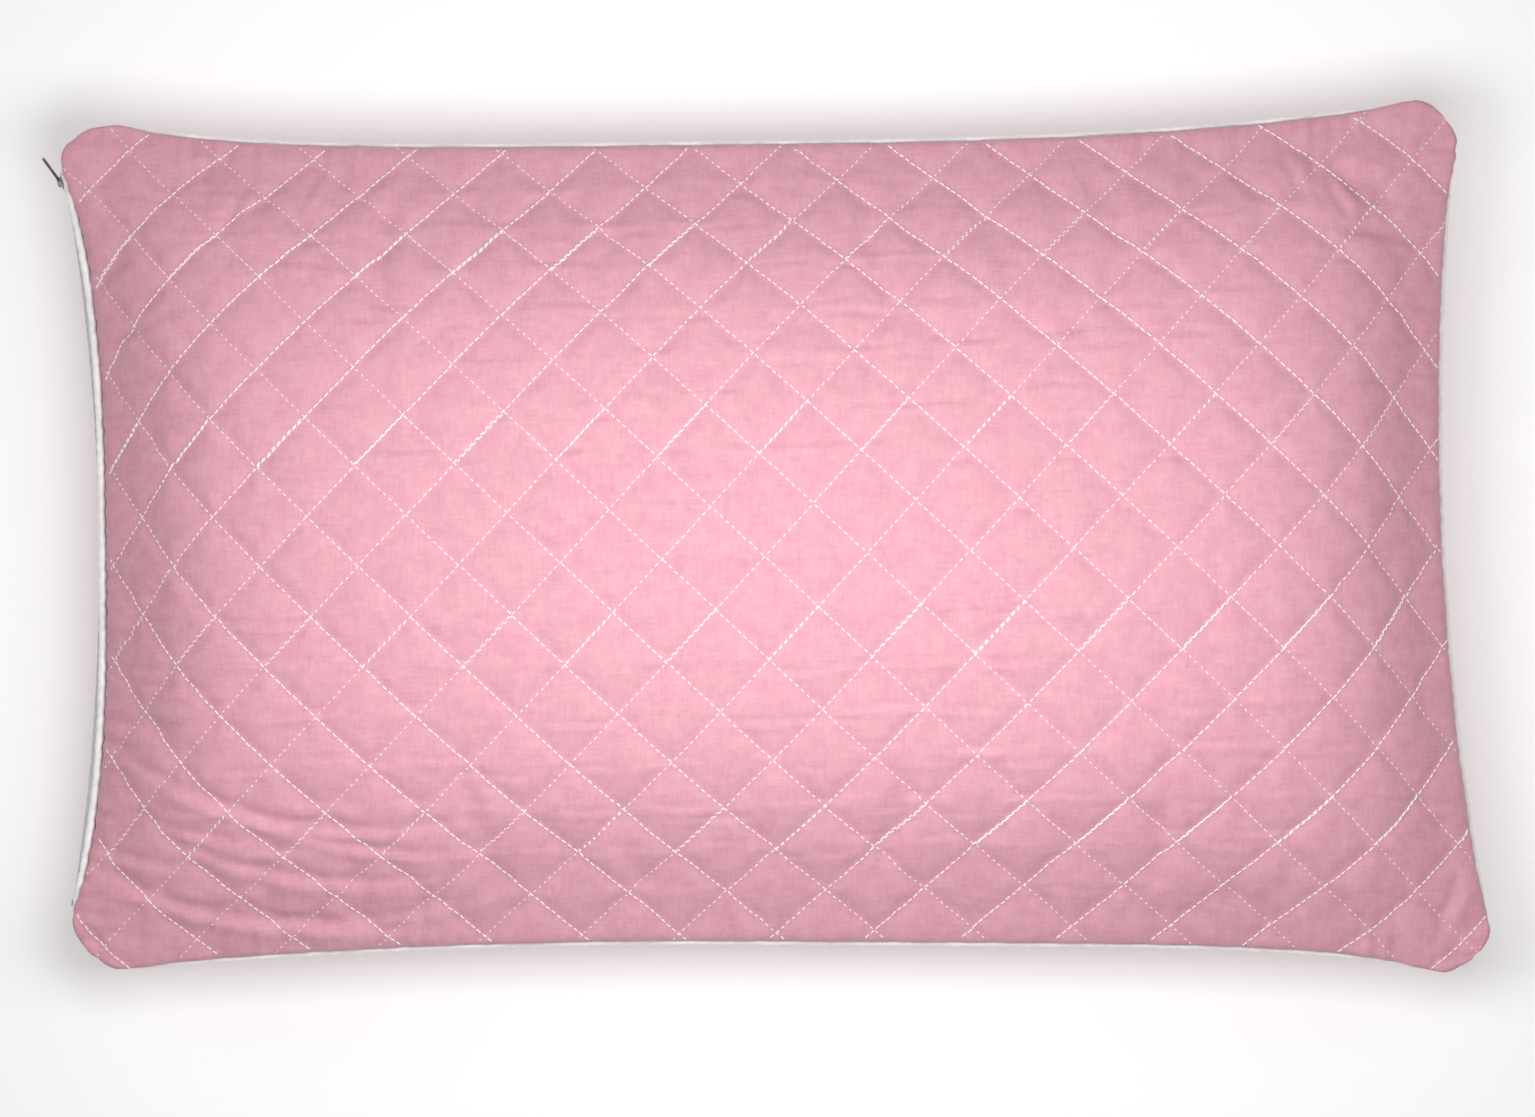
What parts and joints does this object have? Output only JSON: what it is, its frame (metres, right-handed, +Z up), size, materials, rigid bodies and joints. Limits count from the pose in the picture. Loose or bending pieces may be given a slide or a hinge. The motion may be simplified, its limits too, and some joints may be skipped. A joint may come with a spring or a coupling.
{
  "type": "bed pillow",
  "caption": "Rectangular bed pillow with a diamond-quilted pink cover, white piped seam and a zip along one short side, round a fibre-filled inner case.",
  "frame": {"origin": "middle of the bounding box on the surface the pillow lies on", "axes": "+X along the length, away from the zip; +Y across the width; +Z up out of the face panel"},
  "size_m": [0.7301, 0.4456, 0.1268],
  "materials": {
    "pink_microfibre": "matte",
    "wadding": "matte",
    "nonwoven": "matte",
    "white_satin": "satin",
    "cotton_cord": "matte",
    "zip_tape": "matte",
    "nylon_coil": "satin",
    "zip_metal": "satin",
    "polyester_fibre": "matte"
  },
  "bodies": {
    "pillow": {"face_panel_cloth": "pink_microfibre", "face_panel_wadding": "wadding", "face_panel_backing": "nonwoven", "back_panel_cloth": "pink_microfibre", "back_panel_wadding": "wadding", "back_panel_backing": "nonwoven", "piping_cover": "white_satin", "piping_cord": "cotton_cord", "zip_tape_upper": "zip_tape", "zip_tape_lower": "zip_tape", "zip_coil_upper": "nylon_coil", "zip_coil_lower": "nylon_coil", "zip_top_stops": "zip_metal", "zip_bottom_stop": "zip_metal", "inner_case_top": "nonwoven", "inner_case_bottom": "nonwoven", "fibre_fill": "polyester_fibre"},
    "slider": {"zip_slider_body": "zip_metal"},
    "pull": {"zip_pull_tab": "zip_metal"}
  },
  "joints": [
    {"name": "zip_travel", "type": "hinge", "parent": "pillow", "child": "slider", "pos_m": [-1.43765, -0.0147, 0.06], "axis": [0, 0, -1], "range_deg": [0, 18.61]},
    {"name": "pull_swing", "type": "hinge", "parent": "slider", "child": "pull", "pos_m": [-0.35545, 0.17814, 0.0515], "axis": [0, 0, 1], "range_deg": [-24, 144]}
  ]
}
